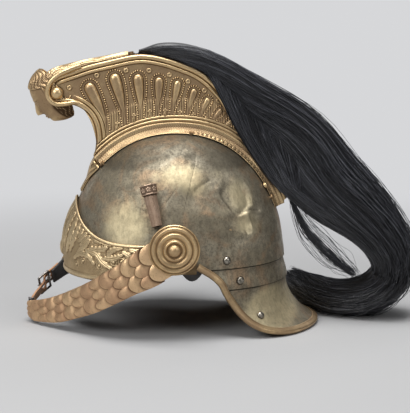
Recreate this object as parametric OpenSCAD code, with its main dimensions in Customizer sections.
// Cavalry helmet with a tall brass crest, a horsehair mane and chin scales.
// Origin: middle of the head opening. The front faces -Y, the wearer's left is +X, up is +Z.

/* [Bowl] */
// Half of the outside length of the steel bowl
bowl_half_len = 114.5; // [109:0.5:120]
// Half of the outside width of the steel bowl
bowl_half_wid = 93; // [89:0.5:97]
// Height of the bowl above the head opening
bowl_high = 147; // [141:1:153]
// Squareness of the bowl's outline: 2 is an ellipse
bowl_square = 2.2; // [2.1:0.05:2.35]
// Thickness of the bowl sheet
bowl_sheet = 1.2; // [1:0.1:1.4]

/* [Neck guard] */
// Height of the bowl's rear edge
nape_edge_z = 16; // [13:1:19]
// Height of the seam between the lame and the guard
lame_low_z = -5; // [-8:1:-3]
// How far a plate reaches under the one above it
plate_lap = 12; // [10:0.5:13]
// Thickness of the lame and the guard
guard_sheet = 1.1; // [0.9:0.1:1.3]
// Width of the rolled brass rim
rim_wide = 6; // [5:0.5:7]
// Radius of the neck rivet heads
neck_rivet_r = 3.4; // [2.8:0.1:3.8]

/* [Front band] */
// Height of the band's lower edge
band_low_z = 1.5; // [0:0.5:3]
// Height of the band's peak over the forehead
band_peak_z = 78; // [72:1:82]
// Height of the band's upper edge at the temples
band_side_z = 41; // [38:1:44]
// Thickness of the band sheet
band_sheet = 1; // [0.8:0.1:1.2]
// How far the band's relief swells out
band_swell = 3; // [1.5:0.25:3.5]

/* [Crest] */
// Height of the crest's base ridge over the bowl
crest_rise = 10; // [8:0.5:12]
// Half width of the crest at its base ridge
crest_half_base = 14; // [12:0.5:16]
// Half width of the crest at its top
crest_half_top = 10; // [9:0.5:11]
// Reach of the base flange from the middle plane
flange_reach = 23; // [21:0.5:26]
// Thickness of the crest sheets
crest_sheet = 0.9; // [0.7:0.1:1.1]
// Height of the top and base mouldings
moulding_high = 3; // [1.5:0.25:3.5]
// Height of the ribbed cap over the crest's front
cap_high = 9; // [6:0.5:10]
// Height of the mask from chin to crown
mask_high = 60; // [54:1:63]

/* [Sockets] */
// Radius of the plume socket's bore
plume_bore_r = 3.5; // [3:0.25:4]
// Length of the plume socket
plume_long = 42; // [36:1:46]
// Radius of the tuft socket's bore
tuft_bore_r = 2; // [1.5:0.1:2.4]
// Length of the tuft socket
tuft_long = 16; // [12:1:20]

/* [Bosses and chin strap] */
// Radius of the ringed bosses
boss_r = 25.5; // [24:0.25:27]
// Height of the bosses from lip to nub
boss_high = 9; // [7:0.5:11]
// Radius of the boss posts
post_r = 3; // [2.5:0.1:3.5]
// Clearance of the strap's holes round the posts
post_gap = 0.3; // [0.2:0.05:0.4]
// Thickness of the strap leather
leather_thick = 2; // [1.6:0.1:2.4]
// Thickness of a brass scale
scale_thick = 0.8; // [0.6:0.1:1]
// Scales on the left half of the chin strap
left_scale_count = 13; // [11:1:15]
// Scales on the right half of the chin strap
right_scale_count = 8; // [7:1:9]
// Radius of the buckle wire
buckle_wire_r = 1.2; // [1:0.1:1.4]
// Length of the buckle frame along the strap
buckle_long = 14; // [13:0.5:16]
// Width of the buckle frame across the strap
buckle_wide = 22; // [21:0.5:26]

/* [Mane] */
// Half width of the mane over the crest
mane_half_wid = 21; // [18:1:25]
// Thickness of the hair that hangs over the crest's sides
mane_flap_thick = 5; // [3:0.5:7]
// Radius of the thin lock behind the crest
lock_r = 5; // [4:0.5:6]

/* [Liner] */
// Height of the leather sweatband
sweatband_high = 30; // [24:1:34]
// Thickness of the liner leather
liner_thick = 1.6; // [1.2:0.1:2]
// Leather tongues of the liner
tongue_count = 9; // [7:1:11]

/* [Hidden] */
$fn = 64;

// Colours
steel = [0.55, 0.53, 0.48];
brass = [0.62, 0.5, 0.3];
scale_brass = [0.68, 0.5, 0.32];
hair = [0.05, 0.05, 0.07];
black_leather = [0.09, 0.08, 0.08];
tan_leather = [0.6, 0.33, 0.17];
iron = [0.25, 0.24, 0.23];

// Common clearances
seat_gap = 0.3;
lap_gap = 0.15;

// Curves and meshes
function mix(a, b, t) = a + (b - a) * t;
function clamp(v, lo, hi) = min(max(v, lo), hi);
function smooth(t) = let (c = clamp(t, 0, 1)) c * c * (3 - 2 * c);
function unit(v) = v / norm(v);
function cubic(a, b, c, d, t) = 0.5 * (2 * b + (c - a) * t + (2 * a - 5 * b + 4 * c - d) * t * t
    + (3 * b - a - 3 * c + d) * t * t * t);
// Value at place u, from 0 to the last index, on a smooth curve through a list
function through(list, u) = let (n = len(list) - 1, i = clamp(floor(u), 0, n - 1))
    cubic(list[max(i - 1, 0)], list[i], list[i + 1], list[min(i + 2, n)], u - i);
function bezier(a, b, c, d, t) = pow(1 - t, 3) * a + 3 * t * pow(1 - t, 2) * b
    + 3 * t * t * (1 - t) * c + t * t * t * d;
function steps(from, to, count) = [for (i = [0:count]) mix(from, to, i / count)];
function grid_normal(g, i, j) = let (n = len(g) - 1, m = len(g[0]) - 1,
    a = g[min(i + 1, n)][j] - g[max(i - 1, 0)][j],
    b = g[i][min(j + 1, m)] - g[i][max(j - 1, 0)]) unit(cross(a, b));
// A grid of points moved along its own normals
function shifted(g, by) = [for (i = [0:len(g) - 1]) [for (j = [0:len(g[0]) - 1])
    g[i][j] + grid_normal(g, i, j) * by]];
function two(a, b, c, d) = [[a, b, c], [a, c, d]];

// Closed solid between an outer and an inner grid of points
module skin(outer, inner) {
    n = len(outer);
    m = len(outer[0]);
    at = function(k, i, j) k * n * m + i * m + j;
    faces = [
        for (i = [0:n - 2]) for (j = [0:m - 2])
            each two(at(0, i, j), at(0, i, j + 1), at(0, i + 1, j + 1), at(0, i + 1, j)),
        for (i = [0:n - 2]) for (j = [0:m - 2])
            each two(at(1, i, j), at(1, i + 1, j), at(1, i + 1, j + 1), at(1, i, j + 1)),
        for (j = [0:m - 2]) each two(at(0, 0, j + 1), at(0, 0, j), at(1, 0, j), at(1, 0, j + 1)),
        for (j = [0:m - 2])
            each two(at(0, n - 1, j), at(0, n - 1, j + 1), at(1, n - 1, j + 1), at(1, n - 1, j)),
        for (i = [0:n - 2]) each two(at(0, i, 0), at(0, i + 1, 0), at(1, i + 1, 0), at(1, i, 0)),
        for (i = [0:n - 2])
            each two(at(0, i + 1, m - 1), at(0, i, m - 1), at(1, i, m - 1), at(1, i + 1, m - 1))
    ];
    polyhedron([for (row = outer) each row, for (row = inner) each row], faces);
}

// Sheet metal or leather: a grid of outside points and a thickness
module sheet(grid, thick) {
    skin(grid, shifted(grid, -thick));
}

// Solid through closed rings of points, each ring turning the same way
module loft(rings) {
    n = len(rings);
    m = len(rings[0]);
    faces = [
        for (i = [0:n - 2]) for (j = [0:m - 1])
            each two(i * m + j, (i + 1) * m + j, (i + 1) * m + (j + 1) % m, i * m + (j + 1) % m),
        for (j = [1:m - 2]) [0, j, j + 1],
        for (j = [1:m - 2]) [(n - 1) * m, (n - 1) * m + j + 1, (n - 1) * m + j]
    ];
    polyhedron([for (ring = rings) each ring], faces);
}

// Closed hoop through rings of points
module hoop(rings) {
    n = len(rings);
    m = len(rings[0]);
    faces = [for (i = [0:n - 1]) for (j = [0:m - 1]) let (k = (i + 1) % n, l = (j + 1) % m)
        each two(i * m + j, i * m + l, k * m + l, k * m + j)];
    polyhedron([for (ring = rings) each ring], faces);
}

// Puts a child's Z axis on a direction, with its X axis near a second direction
module aim(at, z_to, x_to) {
    z = unit(z_to);
    y = unit(cross(z, x_to));
    x = cross(y, z);
    multmatrix([
        [x[0], y[0], z[0], at[0]],
        [x[1], y[1], z[1], at[1]],
        [x[2], y[2], z[2], at[2]],
        [0, 0, 0, 1]
    ]) children();
}

// Round rod between two points
module rod(from, to, r) {
    aim(from, to - from, abs(to[2] - from[2]) > 1 ? [1, 0, 0] : [0, 0, 1])
        cylinder(h = norm(to - from), r = r, $fn = 32);
}

// Bowl surface
bowl_mid_y = 1;
bowl_mid = [0, bowl_mid_y, 0];
function bowl_level(v) = let (r = norm([v[0] / bowl_half_wid, v[1] / bowl_half_len]))
    pow(pow(r, bowl_square) + pow(max(v[2], 0) / bowl_high, bowl_square), 1 / bowl_square);
function bowl_normal(v) = let (r = norm([v[0] / bowl_half_wid, v[1] / bowl_half_len]),
    k = pow(max(r, 0.001), bowl_square - 2))
    unit([k * v[0] / pow(bowl_half_wid, 2), k * v[1] / pow(bowl_half_len, 2),
        pow(max(v[2], 0) / bowl_high, bowl_square - 1) / bowl_high]);
// Point of the bowl's outside, seen from its middle along v, and raised by off
function on_bowl(v, off = 0) = bowl_mid + v / bowl_level(v) + bowl_normal(v) * off;
// Point of the bowl at a turn from the front and a height
function bowl_at(turn, z, off = 0) = let (
    r = pow(1 - pow(max(z, 0) / bowl_high, bowl_square), 1 / bowl_square),
    v = [bowl_half_wid * r * sin(turn), -bowl_half_len * r * cos(turn), z])
    bowl_mid + v + bowl_normal(v) * off;
profile_steps = 20;
function bowl_profile(off) = [for (i = [0:profile_steps]) let (a = 90 * i / profile_steps)
    [(bowl_half_len - off) * pow(cos(a), 2 / bowl_square),
        (bowl_high - off) * pow(sin(a), 2 / bowl_square)]];

// Places along the crest, from the volute over the top to the nape:
// each row is the lean and the height of the top over the foot, and the foot's angle
crest_ribs = [[-40, 53, 50], [-50, 63, 51], [-46, 75, 52.5], [-28, 79, 56], [-16, 75, 66],
    [-1.5, 74, 74.5], [5, 67, 83], [12.5, 58, 89.5], [16, 47, 96.5], [19, 32, 103],
    [17, 18, 110], [13, 9, 123], [10, 6, 138], [6, 4.5, 154]];
last_rib = len(crest_ribs) - 1;
function crest_foot(u) = let (a = through(crest_ribs, u)[2],
    c = sign(cos(a)) * pow(abs(cos(a)), 2 / bowl_square))
    [0, bowl_mid_y - (bowl_half_len + crest_rise) * c,
        (bowl_high + crest_rise) * pow(sin(a), 2 / bowl_square)];
function crest_top(u) = let (r = through(crest_ribs, u)) crest_foot(u) + [0, r[0], r[1]];
// The front ribs bend back, so that the crest's throat is hollow
throat_low = [0, 20, 11];
throat_high = [0, 24, 20];
function throat_bend(u) = pow(1 - smooth(u / 5), 1.2);
function rib_point(u, t) = let (a = crest_foot(u), d = crest_top(u), k = throat_bend(u))
    bezier(a, mix(a, d, 1 / 3) + throat_low * k, mix(a, d, 2 / 3) + throat_high * k, d, t);
// Half width: the crest narrows upwards and towards the nape
function crest_half(u, t) = mix(crest_half_base, crest_half_top, t) * mix(1, 0.8, smooth(u / last_rib));
moulding_wide = 10;
function swell(distance) = distance < 0 || distance > moulding_wide ? 0
    : moulding_high * sin(180 * distance / moulding_wide);
// Outside of the crest's left side
function crest_side_point(u, t) = let (high = norm(crest_top(u) - crest_foot(u)),
    room = min(1, high / 40))
    rib_point(u, t) + [crest_half(u, t) + (swell((1 - t) * high) + swell(t * high * 2)) * room, 0, 0];

// Crest pieces
crest_columns = steps(0, last_rib, 44);
crest_rows = [0, 0.035, 0.07, 0.2, 0.4, 0.6, 0.78, 0.87, 0.92, 0.96, 1];
flange_steps = [1, 0.72, 0.36];
flange_flat = 0.72;
// The flange lies flat on the bowl at its edge and climbs to the base ridge
function flange_point(u, share) = let (f = crest_foot(u) - bowl_mid,
    x = mix(crest_half(u, 0), flange_reach, share),
    climb = pow(max(0, 1 - share / flange_flat), 1.4))
    on_bowl([x, f[1], f[2]], crest_sheet + seat_gap + (crest_rise - crest_sheet) * climb);

module crest_side() {
    grid = [for (u = crest_columns) [
        for (s = flange_steps) flange_point(u, s),
        for (t = crest_rows) crest_side_point(u, t)]];
    difference() {
        color(brass) sheet(grid, crest_sheet);
        for (u = screw_ribs) screw_at(u, screw_hole_r, 8, 4);
    }
}
module crest_side_left() {
    crest_side();
}
module crest_side_right() {
    mirror([1, 0, 0]) crest_side();
}

// Screws that hold the flanges to the bowl
screw_ribs = [1, 8, 12.6];
screw_r = 1.5;
screw_hole_r = screw_r + 0.15;
screw_head_r = 2.4;
screw_head_lift = crest_sheet + 4 * seat_gap;
function screw_seat(u) = let (f = crest_foot(u) - bowl_mid)
    on_bowl([mix(crest_half(u, 0), flange_reach, 0.9), f[1], f[2]], 0);
module screw_at(u, r, out, down) {
    p = screw_seat(u);
    n = bowl_normal(p - bowl_mid);
    aim(p - n * down, n, [1, 0, 0]) cylinder(h = out + down, r = r, $fn = 32);
}
module crest_screws() {
    for (side = [0, 1]) mirror([side, 0, 0]) for (u = screw_ribs) color(brass) union() {
        screw_at(u, screw_r, screw_head_lift + 0.5, bowl_sheet + 2.5);
        p = screw_seat(u);
        n = bowl_normal(p - bowl_mid);
        aim(p + n * screw_head_lift, n, [1, 0, 0]) cylinder(h = 1.2, r = screw_head_r, $fn = 32);
    }
}

// Strip that closes the top of the crest between its sides
spine_drop = 1.5;
module crest_spine() {
    grid = [for (u = steps(1.2, last_rib - 0.15, 40)) let (
        t = 0.985,
        half = crest_half(u, t) - crest_sheet - lap_gap,
        p = rib_point(u, t)) [for (k = [1, 0, -1]) p + [k * half, 0, 0]]];
    difference() {
        color(brass) sheet(shifted(grid, -spine_drop), crest_sheet);
        tuft_cut(tuft_wall_r + lap_gap);
    }
}

// Front plate of the throat, ending in a strip down the bowl
gorge_foot_angle = 33;
function gorge_middle(s) = s < 1 ? rib_point(0, 1 - s * 0.98)
    : let (k = s - 1, a = mix(crest_ribs[0][2], gorge_foot_angle, k),
        v = [0, -bowl_half_len * pow(cos(a), 2 / bowl_square), bowl_high * pow(sin(a), 2 / bowl_square)])
        on_bowl(v, mix(crest_rise, crest_sheet + seat_gap, smooth(k * 1.3)));
function gorge_half(s) = s < 1 ? crest_half(0, 1 - s) - crest_sheet - lap_gap
    : mix(crest_half(0, 0) - crest_sheet - lap_gap, 6, smooth((s - 1) * 1.6));
module crest_gorge() {
    grid = [for (s = steps(0.02, 2, 34)) [for (k = [-1, 0, 1])
        gorge_middle(s) + [k * gorge_half(s), 0, 0]]];
    color(brass) sheet(grid, crest_sheet);
}

// Ribbed cap over the front of the crest, behind the mask
cap_from = 1.9;
cap_to = 4.7;
cap_half = crest_half_top - 0.3;
module crest_cap() {
    grid = [for (u = steps(cap_from, cap_to, 16)) let (
        p = crest_top(u),
        along = unit(crest_top(u + 0.05) - crest_top(u - 0.05)),
        up = cross([1, 0, 0], along),
        rise = cap_high * mix(0.8, 0.45, smooth((u - cap_from) / (cap_to - cap_from))))
        [for (a = steps(-90, 90, 8)) p + up * (seat_gap + rise * cos(a)) + [-cap_half * sin(a), 0, 0]]];
    difference() {
        color(brass) sheet(grid, crest_sheet);
        tuft_cut(tuft_wall_r + lap_gap);
    }
}

// Generic calm mask under the cap, hollow behind
mask_lean = 36;
mask_mid = crest_top(1.3) + [0, 10.5, -6.5];
mask_half = mask_high * 0.29;
mask_deep = 1.38;
mask_cut = 100;
function mask_section(h) = sqrt(max(0.02, 1 - pow(abs(h * 2 - 1), 2.6)));
function nose(h, a) = 0.2 * exp(-pow((h - 0.42) / 0.09, 2)) * exp(-pow(a / 13, 2));
function brow(h, a) = 0.05 * exp(-pow((h - 0.56) / 0.05, 2)) * exp(-pow(a / 45, 2));
function chin(h, a) = 0.1 * exp(-pow((h - 0.13) / 0.08, 2)) * exp(-pow(a / 24, 2));
function mask_local(h, a) = let (r = mask_section(h) * (1 + nose(h, a) + brow(h, a) + chin(h, a)))
    [mask_half * r * sin(a) * mix(0.8, 1, smooth(h * 2)),
        -mask_half * mask_deep * r * cos(a), mask_high * (h - 0.5)];
function mask_point(h, a) = let (p = mask_local(h, a))
    mask_mid + [p[0], p[1] * cos(mask_lean) - p[2] * sin(mask_lean),
        p[1] * sin(mask_lean) + p[2] * cos(mask_lean)];
module crest_mask() {
    grid = [for (h = steps(0.04, 0.94, 20)) [for (a = steps(-mask_cut, mask_cut, 22)) mask_point(h, a)]];
    inner = [for (h = steps(0.04, 0.94, 20)) [for (a = steps(-mask_cut, mask_cut, 22))
        mix(mask_mid, mask_point(h, a), 1 - crest_sheet * 1.3 / mask_half)]];
    color(brass) skin(inner, grid);
}

// Small socket for a tuft, let into the crest behind the cap
tuft_wall_r = tuft_bore_r + 1;
tuft_place = 4.78;
tuft_stand = 3;
function tuft_up() = unit(cross([1, 0, 0], crest_top(tuft_place + 0.1) - crest_top(tuft_place - 0.1)));
function tuft_base() = crest_top(tuft_place) + tuft_up() * (tuft_stand - tuft_long);
module tuft_cut(r) {
    aim(tuft_base() - tuft_up() * 10, tuft_up(), [1, 0, 0]) cylinder(h = tuft_long + 30, r = r);
}
module tuft_socket() {
    color(brass) aim(tuft_base(), tuft_up(), [1, 0, 0]) difference() {
        union() {
            cylinder(h = tuft_long, r = tuft_wall_r);
            translate([0, 0, tuft_long - tuft_stand + seat_gap]) cylinder(h = 1, r = tuft_wall_r + 1);
        }
        translate([0, 0, 2]) cylinder(h = tuft_long, r = tuft_bore_r);
    }
}

// Brackets inside the crest, their bolts through the bowl and the nuts inside it
bracket_places = [4.6, 9];
bolt_r = 2;
bracket_lift = 3;
bracket_high = 8;
function bolt_base(u) = let (f = crest_foot(u) - bowl_mid) on_bowl([0, f[1], f[2]], 0);
function bolt_axis(u) = bowl_normal(bolt_base(u) - bowl_mid);
module at_bolt(u) {
    aim(bolt_base(u), bolt_axis(u), [1, 0, 0]) children();
}
module crest_brackets() {
    for (u = bracket_places) at_bolt(u) color(brass) difference() {
        translate([-crest_half_base + 3.5, -6, bracket_lift])
            cube([2 * crest_half_base - 7, 12, bracket_high]);
        cylinder(h = 30, r = bolt_r + 0.1);
    }
}
module crest_bolts() {
    for (u = bracket_places) at_bolt(u) color(iron) union() {
        translate([0, 0, -bowl_sheet - 7])
            cylinder(h = bowl_sheet + 7 + bracket_lift + bracket_high + 1, r = bolt_r);
        translate([0, 0, bracket_lift + bracket_high + 0.1]) cylinder(h = 2.5, r = 4);
    }
}
module crest_nuts() {
    for (u = bracket_places) at_bolt(u) color(iron) difference() {
        translate([0, 0, -bowl_sheet - 4.2]) cylinder(h = 3, r = 4.4, $fn = 6);
        translate([0, 0, -20]) cylinder(h = 40, r = bolt_r + 0.05);
    }
}

// Solid block of the bowl's outside, grown by off
module bowl_block(off) {
    translate(bowl_mid) scale([bowl_half_wid / bowl_half_len, 1, 1]) rotate_extrude($fn = 128)
        polygon(concat(bowl_profile(-off), [[0, 0]]));
}

// Steel bowl
rim_slope_from = -60;
rim_slope_to = 25;
module skull_bowl() {
    color(steel) difference() {
        translate(bowl_mid) scale([bowl_half_wid / bowl_half_len, 1, 1]) rotate_extrude($fn = 128)
            polygon(concat(bowl_profile(0), [for (i = [profile_steps:-1:0]) bowl_profile(bowl_sheet)[i]]));
        rotate([90, 0, 90]) linear_extrude(height = 4 * bowl_half_wid, center = true)
            polygon([[-200, -20], [200, -20], [200, nape_edge_z], [rim_slope_to, nape_edge_z],
                [rim_slope_from, band_low_z + 1], [-200, band_low_z + 1]]);
        for (side = [-1, 1]) at_boss(side) translate([0, 0, -40]) cylinder(h = 60, r = post_r + lap_gap);
        for (u = bracket_places) at_bolt(u) translate([0, 0, -20]) cylinder(h = 30, r = bolt_r + 0.1);
        for (side = [0, 1]) mirror([side, 0, 0]) for (u = screw_ribs) screw_at(u, screw_hole_r, 4, 8);
        for (k = plume_rivet_places) at_plume_rivet(k) translate([0, 0, -15])
            cylinder(h = 30, r = plume_rivet_r + 0.1);
        for (side = [-1, 1]) at_nape_rivet(side * upper_rivet_turn, upper_rivet_z)
            translate([0, 0, -6]) cylinder(h = 12, r = neck_shank_r + 0.1);
    }
}

// Nape plates
nape_front = 76;
nape_flare = 2.6;
// Outside of the nape at a turn from the rear and a height, with the plates stepping inwards
function flare_at(z) = z > nape_edge_z ? -bowl_sheet - lap_gap
    : mix(-bowl_sheet - lap_gap, nape_flare, smooth((nape_edge_z - z) / (nape_edge_z - lame_low_z)));
function nape_at(turn, z, off = 0) = let (v = bowl_at(180 - turn, max(z, 0), flare_at(z) + off))
    [v[0], v[1], z];
function front_turn(z) = mix(nape_front, nape_front - 11, (nape_edge_z - z) / (nape_edge_z - lame_low_z));
lame_grid = [for (k = steps(1, -1, 36))
    [for (z = concat(steps(lame_low_z, nape_edge_z, 4), [nape_edge_z + plate_lap]))
            nape_at(k * front_turn(z), z)]];
upper_rivet_turn = 64;
upper_rivet_z = nape_edge_z + plate_lap * 0.7;
lower_rivet_turn = 57;
lower_rivet_z = lame_low_z + plate_lap * 0.7;
neck_shank_r = 1.4;
module at_nape_rivet(turn, z) {
    p = nape_at(turn, z);
    q = bowl_normal(bowl_at(180 - turn, 0) - bowl_mid);
    aim(p, [q[0], q[1], 0], [0, 0, 1]) children();
}
module neck_lame() {
    color(steel) difference() {
        sheet(lame_grid, guard_sheet);
        for (side = [-1, 1]) {
            at_nape_rivet(side * upper_rivet_turn, upper_rivet_z) translate([0, 0, -6])
                cylinder(h = 12, r = neck_shank_r + 0.1);
            at_nape_rivet(side * lower_rivet_turn, lower_rivet_z) translate([0, 0, -6])
                cylinder(h = 12, r = neck_shank_r + 0.1);
        }
    }
}

// Guard: its lower edge from the ear to the nape, as shares of the bowl and a height.
// It starts on the lame's own surface, a little in front of the lame's corner.
guard_step = -guard_sheet - 2 * lap_gap;
guard_start_turn = front_turn(lame_low_z) + 2.4;
guard_start = nape_at(guard_start_turn, lame_low_z, guard_step);
guard_edge = [[guard_start[0] / bowl_half_wid, guard_start[1] / bowl_half_len, lame_low_z],
    [0.905, 0.465, -17], [0.90, 0.55, -30], [0.92, 0.67, -41.5],
    [0.90, 0.83, -48.5], [0.78, 1.02, -51.5], [0.54, 1.18, -52], [0.27, 1.28, -52], [0, 1.315, -52]];
function guard_low(s) = let (p = through(guard_edge, s * (len(guard_edge) - 1)))
    [p[0] * bowl_half_wid, p[1] * bowl_half_len, p[2]];
// Column s runs from the ear at 0 to the nape at 1
function guard_column(s, side) = let (
    turn = front_turn(lame_low_z) * (1 - s),
    lap = nape_at(turn, lame_low_z + plate_lap, guard_step),
    top = nape_at(turn, lame_low_z, guard_step),
    low = guard_low(s),
    hang = top + [0, 0, (low[2] - top[2]) * 0.55],
    flat = low + (top - low) * 0.3 - [0, 0, (top[2] - low[2]) * 0.18])
    [for (p = [for (t = [1, 0.8, 0.6, 0.4, 0.2, 0]) bezier(top, hang, flat, low, t), lap])
        [side * p[0], p[1], p[2]]];
guard_grid = [for (s = steps(0, 1, 20)) guard_column(s, 1), for (s = steps(0.95, 0, 19)) guard_column(s, -1)];
module neck_guard() {
    color(steel) difference() {
        sheet(guard_grid, guard_sheet);
        for (side = [-1, 1]) {
            at_nape_rivet(side * lower_rivet_turn, lower_rivet_z) translate([0, 0, -6])
                cylinder(h = 12, r = neck_shank_r + 0.1);
            at_rim_rivet(side) translate([0, 0, -6]) cylinder(h = 12, r = neck_shank_r + 0.1);
        }
    }
}
// Rivet low on the guard, where the rim is held
rim_rivet_column = 8;
rim_rivet_row = 2;
module at_rim_rivet(side) {
    i = side > 0 ? rim_rivet_column : len(guard_grid) - 1 - rim_rivet_column;
    aim(guard_grid[i][rim_rivet_row], grid_normal(guard_grid, i, rim_rivet_row), [0, 0, 1]) children();
}

// Rolled brass rim over the edges of the lame and the guard
rim_slot = guard_sheet * 2 + 6 * seat_gap;
rim_wall = 0.9;
rim_start_drop = 4.5;
rim_stops = 3;
function rim_stop(side, i) = let (z = mix(nape_edge_z - rim_start_drop, lame_low_z, i / rim_stops),
    p = nape_at(front_turn(z), z)) [side * p[0], p[1], p[2]];
rim_path = concat([for (i = [0:rim_stops - 1]) rim_stop(1, i)],
    [for (i = [0:len(guard_grid) - 1]) guard_grid[i][0]],
    [for (i = [rim_stops - 1:-1:0]) rim_stop(-1, i)]);
rim_last = len(rim_path) - 1;
// Rings from the nearer end of the rim: the first of them lie on the lame
function rim_ring(i) = min(i, rim_last - i);
function lame_normal(z, side) = let (turn = front_turn(z), p = nape_at(turn, z),
    n = unit(cross(nape_at(turn, z - 2) - p, nape_at(turn - 3, z) - p))) [side * n[0], n[1], n[2]];
function rim_face(i) = let (
    n = lame_normal(max(rim_path[i][2], lame_low_z), i < rim_last / 2 ? 1 : -1),
    g = grid_normal(guard_grid, clamp(i - rim_stops, 0, len(guard_grid) - 1), 0))
    unit(mix(n, g, smooth((rim_ring(i) - rim_stops + 1) / 4)));
function rim_out(i) = let (
    along = unit(rim_path[min(i + 1, rim_last)] - rim_path[max(i - 1, 0)]),
    face = rim_face(i)) [unit(cross(along, face)), unit(cross(cross(along, face), along))];
// Section of the rim: a fold round the edge, open towards the plate
rim_section = [[-rim_wide, rim_wall + 0.2], [0.2, rim_wall + 0.4], [1.4, rim_wall - 0.4],
    [1.4, -rim_slot - rim_wall + 0.8], [0.2, -rim_slot - rim_wall], [-rim_wide, -rim_slot - rim_wall],
    [-rim_wide, -rim_slot], [seat_gap, -rim_slot], [seat_gap, 0], [-rim_wide, 0]];
// Over the first columns of the guard the rim also takes in the lame
function rim_lift(i) = 2 * seat_gap
    + (rim_ring(i) < rim_stops ? 0 : -guard_step * (1 - smooth((rim_ring(i) - rim_stops) / 3)));
module neck_guard_rim() {
    rings = [for (i = [0:len(rim_path) - 1]) let (f = rim_out(i))
        [for (q = rim_section) rim_path[i] + f[0] * q[0] + f[1] * (q[1] + rim_lift(i))]];
    color(brass) loft(rings);
}

module rivet(out, through_plates) {
    union() {
        translate([0, 0, -through_plates])
            cylinder(h = through_plates + out + 0.5, r = neck_shank_r, $fn = 32);
        translate([0, 0, out]) intersection() {
            translate([0, 0, -neck_rivet_r * 0.5]) sphere(r = neck_rivet_r * 1.12, $fn = 32);
            cylinder(h = neck_rivet_r, r = neck_rivet_r, $fn = 32);
        }
    }
}
module neck_rivets() {
    color(brass) {
        for (side = [-1, 1]) {
            at_nape_rivet(side * upper_rivet_turn, upper_rivet_z) rivet(bowl_sheet + 0.5, guard_sheet + 1);
            at_nape_rivet(side * lower_rivet_turn, lower_rivet_z) rivet(1.1, 2 * guard_sheet + 1);
            at_rim_rivet(side) rivet(0.6, guard_sheet + 1);
        }
    }
}

// Front band
band_turn = 103;
function band_top(turn) = let (k = abs(turn) / band_turn)
    band_side_z + (band_peak_z - band_side_z) * pow(1 - smooth(k * 1.5), 1.6)
    - 11 * smooth((k - 0.82) / 0.18);
band_rear_rise = 11;
function band_bottom(turn) = band_low_z + band_rear_rise * smooth((abs(turn) - 58) / 32);
function band_out(turn, t) = band_sheet + 0.6 + band_swell * (1 - smooth(abs(turn) / 85)) * sin(180 * t)
    + 0.6 * sin(180 * t);
band_grid = [for (turn = steps(-band_turn, band_turn, 52)) [for (t = steps(0, 1, 7))
    bowl_at(turn, mix(band_bottom(turn), band_top(turn), t), band_out(turn, t))]];
module front_band() {
    color(brass) difference() {
        sheet(band_grid, band_sheet);
        for (side = [-1, 1]) at_boss(side) translate([0, 0, -40]) cylinder(h = 60, r = post_r + lap_gap);
    }
}

// Bosses: stacked on the bowl at each temple are the band, the strap leather, the scales and the boss
boss_y = -2;
boss_z = 39;
// The band bellies a little more under the boss than at its height
stack_x = bowl_half_wid + band_sheet + 1.3 + seat_gap;
leather_out_x = stack_x + leather_thick;
boss_seat_x = leather_out_x + 3 * scale_thick + 4 * seat_gap;
module at_boss(side) {
    translate([side * boss_seat_x, boss_y, boss_z]) rotate([0, side * 90, 0]) children();
}
// Ring heights from the lip to the nub, as shares of the radius and of the height
boss_rings = [[1, 0.04], [0.97, 0.14], [0.93, 0.1], [0.88, 0.3], [0.8, 0.34], [0.72, 0.26], [0.66, 0.5],
    [0.58, 0.54], [0.48, 0.42], [0.42, 0.66], [0.34, 0.7], [0.29, 0.56], [0.24, 0.82], [0.14, 0.96], [0.04, 1]];
boss_wall = 0.9;
module boss() {
    union() {
        rotate_extrude($fn = 96) polygon(concat(
            [[0, boss_high]], [for (i = [len(boss_rings) - 1:-1:0])
                [boss_rings[i][0] * boss_r, boss_rings[i][1] * boss_high]],
            [[boss_r, 0], [boss_r - boss_wall, 0]],
            [[boss_r - boss_wall, 0.3], [boss_r * 0.3, boss_high * 0.25], [0, boss_high * 0.3]]));
        translate([0, 0, -post_long]) cylinder(h = post_long + boss_high * 0.5, r = post_r);
    }
}
post_long = boss_seat_x - bowl_at(90, boss_z)[0] + bowl_sheet + 7;
module boss_left() {
    color(brass) at_boss(1) boss();
}
module boss_right() {
    color(brass) at_boss(-1) boss();
}
module boss_nuts() {
    for (side = [-1, 1]) at_boss(side) color(iron) translate([0, 0, -post_long + 1]) difference() {
        union() {
            cylinder(h = 3, r = 6, $fn = 6);
            translate([0, 0, 3]) cylinder(h = 1, r = 8);
        }
        translate([0, 0, -1]) cylinder(h = 10, r = post_r + 0.05);
    }
}

// Chin strap
// Middle line from the left boss round the chin to the right boss: shares of the boss
// seat and of the bowl's half length, a height, and the strap's width there
strap_route = [[1, 0.105, 49.5, 44], [1, 0, boss_z, 44], [0.998, -0.235, 20.5, 40], [0.962, -0.384, 10, 35],
    [0.872, -0.555, -2.5, 33], [0.718, -0.715, -15, 32], [0.53, -0.88, -26, 30], [0.36, -1.035, -35, 28],
    [0.21, -1.175, -40, 24], [0.065, -1.295, -42, 21], [-0.04, -1.34, -37, 17], [-0.115, -1.29, -28, 15],
    [-0.19, -1.205, -19, 15], [-0.32, -1.105, -12, 17], [-0.5, -1.0, -5, 22], [-0.71, -0.8, 5, 28],
    [-0.885, -0.555, 14, 33], [-0.99, -0.28, 26.5, 40], [-1, 0, boss_z, 44], [-1, 0.12, 44, 44]];
route_end = len(strap_route) - 1;
left_end = 9.5;
right_start = 12.75;
tongue_to = 13.6;
function strap_mid(s) = let (p = through(strap_route, s))
    [p[0] * leather_out_x, boss_y + p[1] * bowl_half_len, p[2]];
function strap_half(s) = through(strap_route, s)[3] / 2;
function strap_along(s) = unit(strap_mid(min(s + 0.1, route_end)) - strap_mid(max(s - 0.1, 0)));
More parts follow.
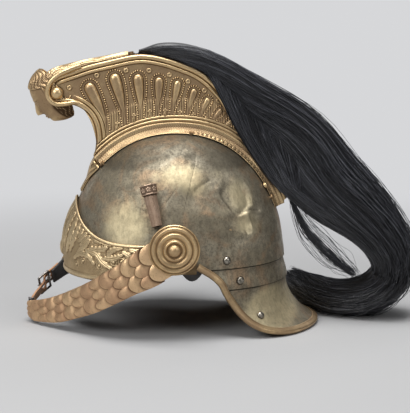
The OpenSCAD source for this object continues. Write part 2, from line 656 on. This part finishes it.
function strap_face(s) = let (p = strap_mid(s), flat = unit([p[0], (p[1] - boss_y) * 0.9, 0]),
    along = strap_along(s)) unit(flat - along * (flat * along));
function strap_across(s) = cross(strap_face(s), strap_along(s));
// Point of the strap's outside, across from -1 to 1, raised by off
function strap_point(s, across, off = 0) = strap_mid(s) + strap_across(s) * across * strap_half(s)
    + strap_face(s) * off;
// Roundness of the strap's head behind the boss
function head_round(place) = 0.94 * sqrt(max(0.1, 1 - pow(clamp(1 - place, 0, 1), 2)));
module post_hole(side) {
    at_boss(side) translate([0, 0, -30]) cylinder(h = 40, r = post_r + post_gap);
}
module strap_leather(side, to, count) {
    grid = [for (place = steps(0, to, count)) [for (k = [-1, 0, 1])
        half_point(side, place, k * head_round(place), 0)]];
    color(black_leather) difference() {
        sheet(grid, leather_thick);
        post_hole(side);
    }
}
module strap_leather_left() {
    strap_leather(1, left_end, 36);
}
module strap_leather_right() {
    strap_leather(-1, route_end - right_start, 26);
}

// Scales: each one's root lies on the leather and its lobed end on the next scale.
// Places are counted from the boss end of either half of the strap.
scales_from = 1.75;
lobe_reach = 1.55;
lobe_deep = 0.28;
scale_crown = 0.6;
left_pitch = (left_end - 0.1 - scales_from) / (left_scale_count - 1 + lobe_reach);
right_pitch = (route_end - tongue_to - 0.25 - scales_from) / (right_scale_count - 1 + lobe_reach);
function lobe(across, lobes) = lobe_deep * abs(sin(90 * lobes * (across + 1)));
// Height of a scale over the leather, where tilt is the distance from its root in pitches
function scale_lift(tilt, across) = seat_gap + scale_thick + max(0, tilt) * (
    (scale_thick + lap_gap) * 1.1 + scale_crown * (1 - across * across) / lobe_reach);
function half_point(side, place, across, off) =
    strap_point(side > 0 ? place : route_end - place, side * across, off);
module scale_plate(side, root, pitch, lobes) {
    grid = [for (t = steps(0, 1, 3)) [for (k = steps(-1, 1, 8)) let (
        tilt = t * (lobe_reach - lobe_deep + lobe(k, lobes)))
        half_point(side, root + pitch * tilt, k, scale_lift(tilt, k))]];
    sheet(grid, scale_thick);
}
// Long top plate of a strap half, drilled for the boss post
module head_plate(side, pitch) {
    root = scales_from - pitch;
    from = 0.15;
    grid = [for (t = steps(0, 1, 9)) [for (k = steps(-1, 1, 8)) let (
        to = root + pitch * (lobe_reach - lobe_deep + lobe(k, 2)),
        place = mix(from, to, t))
        half_point(side, place, k * head_round(place), scale_lift((place - root) / pitch, k))]];
    difference() {
        sheet(grid, scale_thick);
        post_hole(side);
    }
}
module chin_scales(side, pitch, count) {
    color(scale_brass) {
        head_plate(side, pitch);
        for (i = [0:count - 1]) scale_plate(side, scales_from + pitch * i, pitch, 3 - i % 2);
    }
}
module chin_scales_left() {
    chin_scales(1, left_pitch, left_scale_count);
}
module chin_scales_right() {
    chin_scales(-1, right_pitch, right_scale_count);
}

// Tongue: inside the left half, up through the buckle frame and over the right half
buckle_bar = 12.5;
tongue_from = 8.7;
tongue_thick = 1.8;
tongue_half = 6.5;
tongue_inside = -leather_thick - 2 * seat_gap;
tongue_outside = buckle_wire_r + tongue_thick + 3 * seat_gap;
function tongue_off(s) = mix(tongue_inside, tongue_outside, smooth((s - 11.8) / 0.58));
module strap_tongue() {
    grid = [for (s = steps(tongue_from, tongue_to, 44)) [for (k = [-1, 0, 1])
        strap_point(s, k * tongue_half / strap_half(s), tongue_off(s))]];
    color(tan_leather) difference() {
        sheet(grid, tongue_thick);
        prong_slot();
    }
}
// Buckle, laid out from its bar: Z runs along the bar, X points along the strap
end_bar = 11.7;
bar_mid = strap_mid(buckle_bar);
bar_to_end = unit(strap_mid(end_bar) - bar_mid);
bar_axis = unit(cross(bar_to_end, strap_face((buckle_bar + end_bar) / 2)));
module at_bar() {
    aim(bar_mid, bar_axis, bar_to_end) children();
}
module strap_buckle() {
    corner = [for (x = [0, 1]) for (z = [-1, 1]) [x * buckle_long, 0, z * buckle_wide / 2]];
    color(iron) at_bar() union() {
        rod(corner[0], corner[1], buckle_wire_r);
        rod(corner[2], corner[3], buckle_wire_r);
        rod(corner[0], corner[2], buckle_wire_r);
        rod(corner[1], corner[3], buckle_wire_r);
        for (p = corner) translate(p) sphere(r = buckle_wire_r, $fn = 32);
    }
}
prong_r = 0.9;
prong_eye = 3.2;
prong_rise = buckle_wire_r + prong_r + seat_gap;
prong_long = buckle_long + 1;
module buckle_prong() {
    color(iron) at_bar() union() {
        difference() {
            translate([0, 0, -prong_eye / 2]) cylinder(h = prong_eye, r = buckle_wire_r + 1.1, $fn = 32);
            translate([0, 0, -prong_eye]) cylinder(h = 2 * prong_eye, r = buckle_wire_r + 0.2, $fn = 32);
        }
        wire_out = [buckle_wire_r + 0.7, 0.4, 0];
        tip = [prong_long, prong_rise, 0];
        aim(wire_out, tip - wire_out, [0, 0, 1]) cylinder(h = norm(tip - wire_out), r = prong_r, $fn = 32);
    }
}
module prong_slot() {
    at_bar() hull() for (x = [-4, buckle_long - 1]) translate([x, 0, 0]) rotate([90, 0, 0])
        cylinder(h = 30, r = 2.4, center = true, $fn = 32);
}
// Leather keeper round the tongue at the end of the left half
keeper_at = 9.95;
module strap_keeper() {
    rings = [for (s = steps(keeper_at - 0.25, keeper_at + 0.25, 3)) [
        for (q = [[1, 1], [-1, 1], [-1, -1], [1, -1]]) strap_mid(s)
            + strap_across(s) * q[0] * (tongue_half + 2.2)
            + strap_face(s) * (tongue_inside - tongue_thick / 2 + q[1] * (tongue_thick / 2 + 2))]];
    hole = [for (s = steps(keeper_at - 0.4, keeper_at + 0.4, 3)) [
        for (q = [[1, 1], [-1, 1], [-1, -1], [1, -1]]) strap_mid(s)
            + strap_across(s) * q[0] * (tongue_half + seat_gap)
            + strap_face(s) * (tongue_inside - tongue_thick / 2 + q[1] * (tongue_thick / 2 + seat_gap))]];
    color(black_leather) difference() {
        loft(rings);
        loft(hole);
    }
}

// Plume socket on the left temple
// Turn and height on the bowl of the socket's foot, and how far its middle stands off
plume_turn = 79.6;
plume_low_z = 59.9;
plume_stand = 4.8;
plume_foot = bowl_at(plume_turn, plume_low_z, plume_stand);
plume_lean = [-12, -9.5, 42];
plume_top_r = 8.5;
plume_low_r = 5.5;
collar_high = 10;
plume_rivet_r = 1.3;
plume_rivet_places = [8, 30];
// Rivets reach from the bore's wall through the bowl, wherever the socket stands on it
plume_rivet_long = 24;
module at_plume() {
    aim(plume_foot, plume_lean, [1, 0, 0]) children();
}
module plume_socket() {
    color(scale_brass) difference() {
        union() {
            at_plume() rotate(22.5)
                cylinder(h = plume_long, r1 = plume_low_r, r2 = plume_top_r - 0.8, $fn = 8);
            at_plume() translate([0, 0, plume_long - collar_high]) rotate(22.5)
                cylinder(h = collar_high, r1 = plume_top_r - 0.6, r2 = plume_top_r + 0.4, $fn = 8);
            for (k = plume_rivet_places)
                at_plume() translate([-plume_low_r - 14, -3, k - 3]) cube([16, 6, 6]);
        }
        at_plume() translate([0, 0, -1]) cylinder(h = plume_long + 2, r = plume_bore_r);
        for (k = plume_rivet_places)
            at_plume_rivet(k) translate([0, 0, -plume_rivet_long])
                cylinder(h = plume_rivet_long + 0.1, r = plume_rivet_r + 0.1);
        bowl_block(seat_gap);
    }
}
module at_plume_rivet(k) {
    z = unit(plume_lean);
    y = unit(cross(z, [1, 0, 0]));
    x = cross(y, z);
    foot = plume_foot + z * k - x * (plume_bore_r + 0.5);
    aim(foot, x, z) children();
}
module plume_socket_rivets() {
    for (k = plume_rivet_places) color(brass) difference() {
        at_plume_rivet(k) translate([0, 0, -plume_rivet_long])
            cylinder(h = plume_rivet_long, r = plume_rivet_r, $fn = 32);
        bowl_block(-bowl_sheet - 1.5);
    }
}

// Mane
mane_start = 5.05;
// Rail in the crest's top that the hair is tied to
rail_thick = 1.1;
module mane_rail() {
    grid = [for (u = steps(mane_start, last_rib - 0.3, 24)) let (
        t = 0.985, half = crest_half(u, t) - crest_sheet - 1, p = rib_point(u, t))
        [for (k = [1, 0, -1]) p + [k * half, 0, 0]]];
    color("saddlebrown") sheet(shifted(grid, rail_thick + 2 * lap_gap - spine_drop), rail_thick);
}
// Hair over the crest: how far it stands behind and above the crest's top at each rib
crown_lift = [[0, 2.5], [0, 9], [5, 16], [11, 21], [18, 24], [27, 25],
    [37, 27], [42, 33], [46, 40], [50, 44]];
function crown_out(u) = let (
    c = through(crown_lift, (u - mane_start) / (last_rib - mane_start) * (len(crown_lift) - 1)))
    [0, c[0], c[1]];
ring_points = 20;
function crown_ring(u) = let (
    low = rib_point(u, 1) + unit(crown_out(u)) * 1.5 * seat_gap,
    out = crown_out(u), mid = low + out / 2,
    half = mane_half_wid * mix(0.45, 1, smooth((u - mane_start) / 3)))
    [for (j = [0:ring_points - 1]) let (a = 360 * j / ring_points,
        c = sign(cos(a)) * pow(abs(cos(a)), 0.75)) 
            mid + out / 2 * c + [half * sin(a) * mix(1, 0.62, (1 - c) / 2), 0, 0]];
module mane_crown() {
    color(hair) loft([for (u = steps(mane_start, last_rib + 0.05, 22)) crown_ring(u)]);
}
// Hair hanging over the rear of the crest's sides
flap_from = 8.3;
module mane_flap() {
    inner = [for (u = steps(flap_from, last_rib - 0.1, 16)) let (deep = smooth((u - flap_from) / 2.2))
        [for (t = steps(0.98 - 0.9 * deep, 0.99, 4)) crest_side_point(u, t) + [3 * seat_gap, 0, 0]]];
    outer = [for (i = [0:len(inner) - 1]) [for (j = [0:4])
        inner[i][j] + [
            mane_flap_thick * (0.25 + 0.75 * sin(180 * i / (len(inner) - 1))) * (0.4 + 0.15 * j), 0, 0]]];
    color(hair) skin(outer, inner);
}
module mane_flap_left() {
    mane_flap();
}
module mane_flap_right() {
    mirror([1, 0, 0]) mane_flap();
}
// Mane behind the crest: its middle line, counted backwards from the bowl's rear, then its half
// thickness in the side view and its half width
mane_route = [[0, 32.5, 99.8, 33, 20], [0, 48.5, 81, 33, 23], [-1, 72.5, 60, 27, 25],
    [-2, 94.5, 38, 20, 26], [-4, 110.5, 14, 17.5, 25], [-6, 114.5, -6, 17.5, 25],
    [-11, 105.5, -22, 16.3, 25], [-20, 88.5, -33, 15.5, 24.5], [-33, 68.5, -37.5, 13.5, 23],
    [-48, 50.5, -37.5, 12, 19], [-63, 35.5, -35.5, 10, 15], [-75, 24.5, -32, 7, 10],
    [-82, 16.5, -29, 3, 4]];
// The fall ends and the tail starts here
mane_split = 6;
function route_frame(s) = let (n = len(mane_route) - 1,
    a = through(mane_route, max(s - 0.1, 0)), b = through(mane_route, min(s + 0.1, n)),
    along = unit([b[0] - a[0], b[1] - a[1], b[2] - a[2]]),
    wide = unit([1, 0, 0] - along * along[0])) [wide, cross(along, wide)];
function route_ring(s) = let (p = through(mane_route, s), f = route_frame(s))
    [for (j = [0:ring_points - 1]) let (a = 360 * j / ring_points)
        [p[0], p[1] + bowl_half_len, p[2]] + f[0] * p[4] * sin(a) + f[1] * p[3] * cos(a)];
module mane_fall() {
    color(hair) loft([for (s = steps(0, mane_split, 22)) route_ring(s)]);
}
module mane_tail() {
    color(hair) loft([for (s = steps(mane_split + 0.03, len(mane_route) - 1, 20)) route_ring(s)]);
}
// Thin lock: its middle line, counted backwards from the bowl's rear
lock_route = [[3, 6.5, 75.2], [6, 21.5, 44], [7, 38.5, 24], [6, 59.5, 4], [5, 78.5, -9]];
function lock_ring(s) = let (n = len(lock_route) - 1, p = through(lock_route, s) + [0, bowl_half_len, 0],
    along = unit(through(lock_route, min(s + 0.1, n)) - through(lock_route, max(s - 0.1, 0))),
    wide = unit([1, 0, 0] - along * along[0]), up = cross(along, wide),
    r = lock_r * mix(0.6, 1, sin(180 * s / n)))
    [for (j = [0:9]) p + wide * r * sin(36 * j) + up * r * 0.8 * cos(36 * j)];
module mane_lock() {
    color(hair) loft([for (s = steps(0, len(lock_route) - 1, 16)) lock_ring(s)]);
}

// Liner
sweatband_low = nape_edge_z + plate_lap + 2;
sweatband_gap = 1;
sweatband_shrink = pow(1 - pow((sweatband_low + sweatband_high) / bowl_high, bowl_square), 1 / bowl_square);
sweatband_half_len = (bowl_half_len - bowl_sheet - sweatband_gap) * sweatband_shrink;
sweatband_half_wid = (bowl_half_wid - bowl_sheet - sweatband_gap) * sweatband_shrink;
module sweatband() {
    color(tan_leather) difference() {
        translate(bowl_mid + [0, 0, sweatband_low])
            scale([sweatband_half_wid / sweatband_half_len, 1, 1]) rotate_extrude($fn = 128)
                polygon([[sweatband_half_len, sweatband_high],
                        [sweatband_half_len - liner_thick, sweatband_high],
                    [sweatband_half_len - liner_thick, 0], [sweatband_half_len, 0]]);
        for (side = [-1, 1]) at_boss(side) translate([0, 0, -post_long - 4]) cylinder(h = post_long, r = 10);
    }
}
// Tongues rise from the sweatband to the lace under the crown
lace_z = 118;
lace_r = 1.4;
tongue_gap = 12;
function liner_dome(turn, z, off) = bowl_at(turn, z, -bowl_sheet - off);
module liner_tongues() {
    for (i = [0:tongue_count - 1]) let (turn = 360 * (i + 0.5) / tongue_count) {
        grid = [for (k = steps(-1, 1, 4)) [for (t = steps(0, 1, 6)) let (
            z = mix(sweatband_low + sweatband_high + seat_gap, lace_z, t),
            half = 180 / tongue_count * mix(0.86, 0.42, t * t))
            liner_dome(turn + k * half, z, mix(2.6, tongue_gap, smooth(t * 1.6)))]];
        color(tan_leather) sheet(grid, liner_thick);
    }
}
// The lace runs straight from tongue to tongue
function lace_corner(i) =
    liner_dome(360 * (i + 0.5) / tongue_count, lace_z, tongue_gap + liner_thick + lace_r + seat_gap);
module liner_lace() {
    rings = [for (i = [0:tongue_count - 1]) let (turn = 360 * (i + 0.5) / tongue_count)
        [for (j = [0:7])
            lace_corner(i) + lace_r * [cos(45 * j) * sin(turn), -cos(45 * j) * cos(turn), sin(45 * j)]]];
    color(hair) hoop(rings);
}
module liner_rivets() {
    for (turn = [30, 60, 120, 150, 210, 240, 300, 330]) {
        p = bowl_at(turn, sweatband_low + sweatband_high - 6, -bowl_sheet - seat_gap - 0.1);
        n = bowl_normal(p - bowl_mid);
        color(brass) aim(p, -[n[0], n[1], 0], [0, 0, 1]) cylinder(h = 1, r = 1.5, $fn = 24);
    }
}
// Leather lobes that hang at the ears from the outside of the sweatband
tab_turn = 98;
tab_half = 12;
tab_lap = 2;
tab_low = 4;
function band_side(turn, off) = [(sweatband_half_wid + off) * sin(turn),
    -(sweatband_half_len + off) * cos(turn)];
module ear_tabs() {
    for (side = [0, 1]) mirror([side, 0, 0]) {
        grid = [for (a = steps(-tab_half / 2, tab_half / 2, 8)) [for (t = [0, 0.5, 1]) let (
            p = band_side(tab_turn + a, seat_gap + liner_thick),
            low = tab_low + 9 * pow(abs(a) / tab_half * 2, 2))
            bowl_mid + [p[0], p[1], mix(low, sweatband_low + tab_lap, t)]]];
        color(black_leather) sheet(grid, liner_thick);
    }
}

skull_bowl();
neck_lame();
neck_guard();
neck_guard_rim();
neck_rivets();
front_band();
crest_side_left();
crest_side_right();
crest_spine();
crest_gorge();
crest_cap();
crest_mask();
tuft_socket();
crest_brackets();
crest_bolts();
crest_nuts();
crest_screws();
boss_left();
boss_right();
boss_nuts();
plume_socket();
plume_socket_rivets();
chin_scales_left();
chin_scales_right();
strap_leather_left();
strap_leather_right();
strap_tongue();
strap_buckle();
buckle_prong();
strap_keeper();
mane_rail();
mane_crown();
mane_flap_left();
mane_flap_right();
mane_fall();
mane_tail();
mane_lock();
sweatband();
liner_tongues();
liner_lace();
liner_rivets();
ear_tabs();
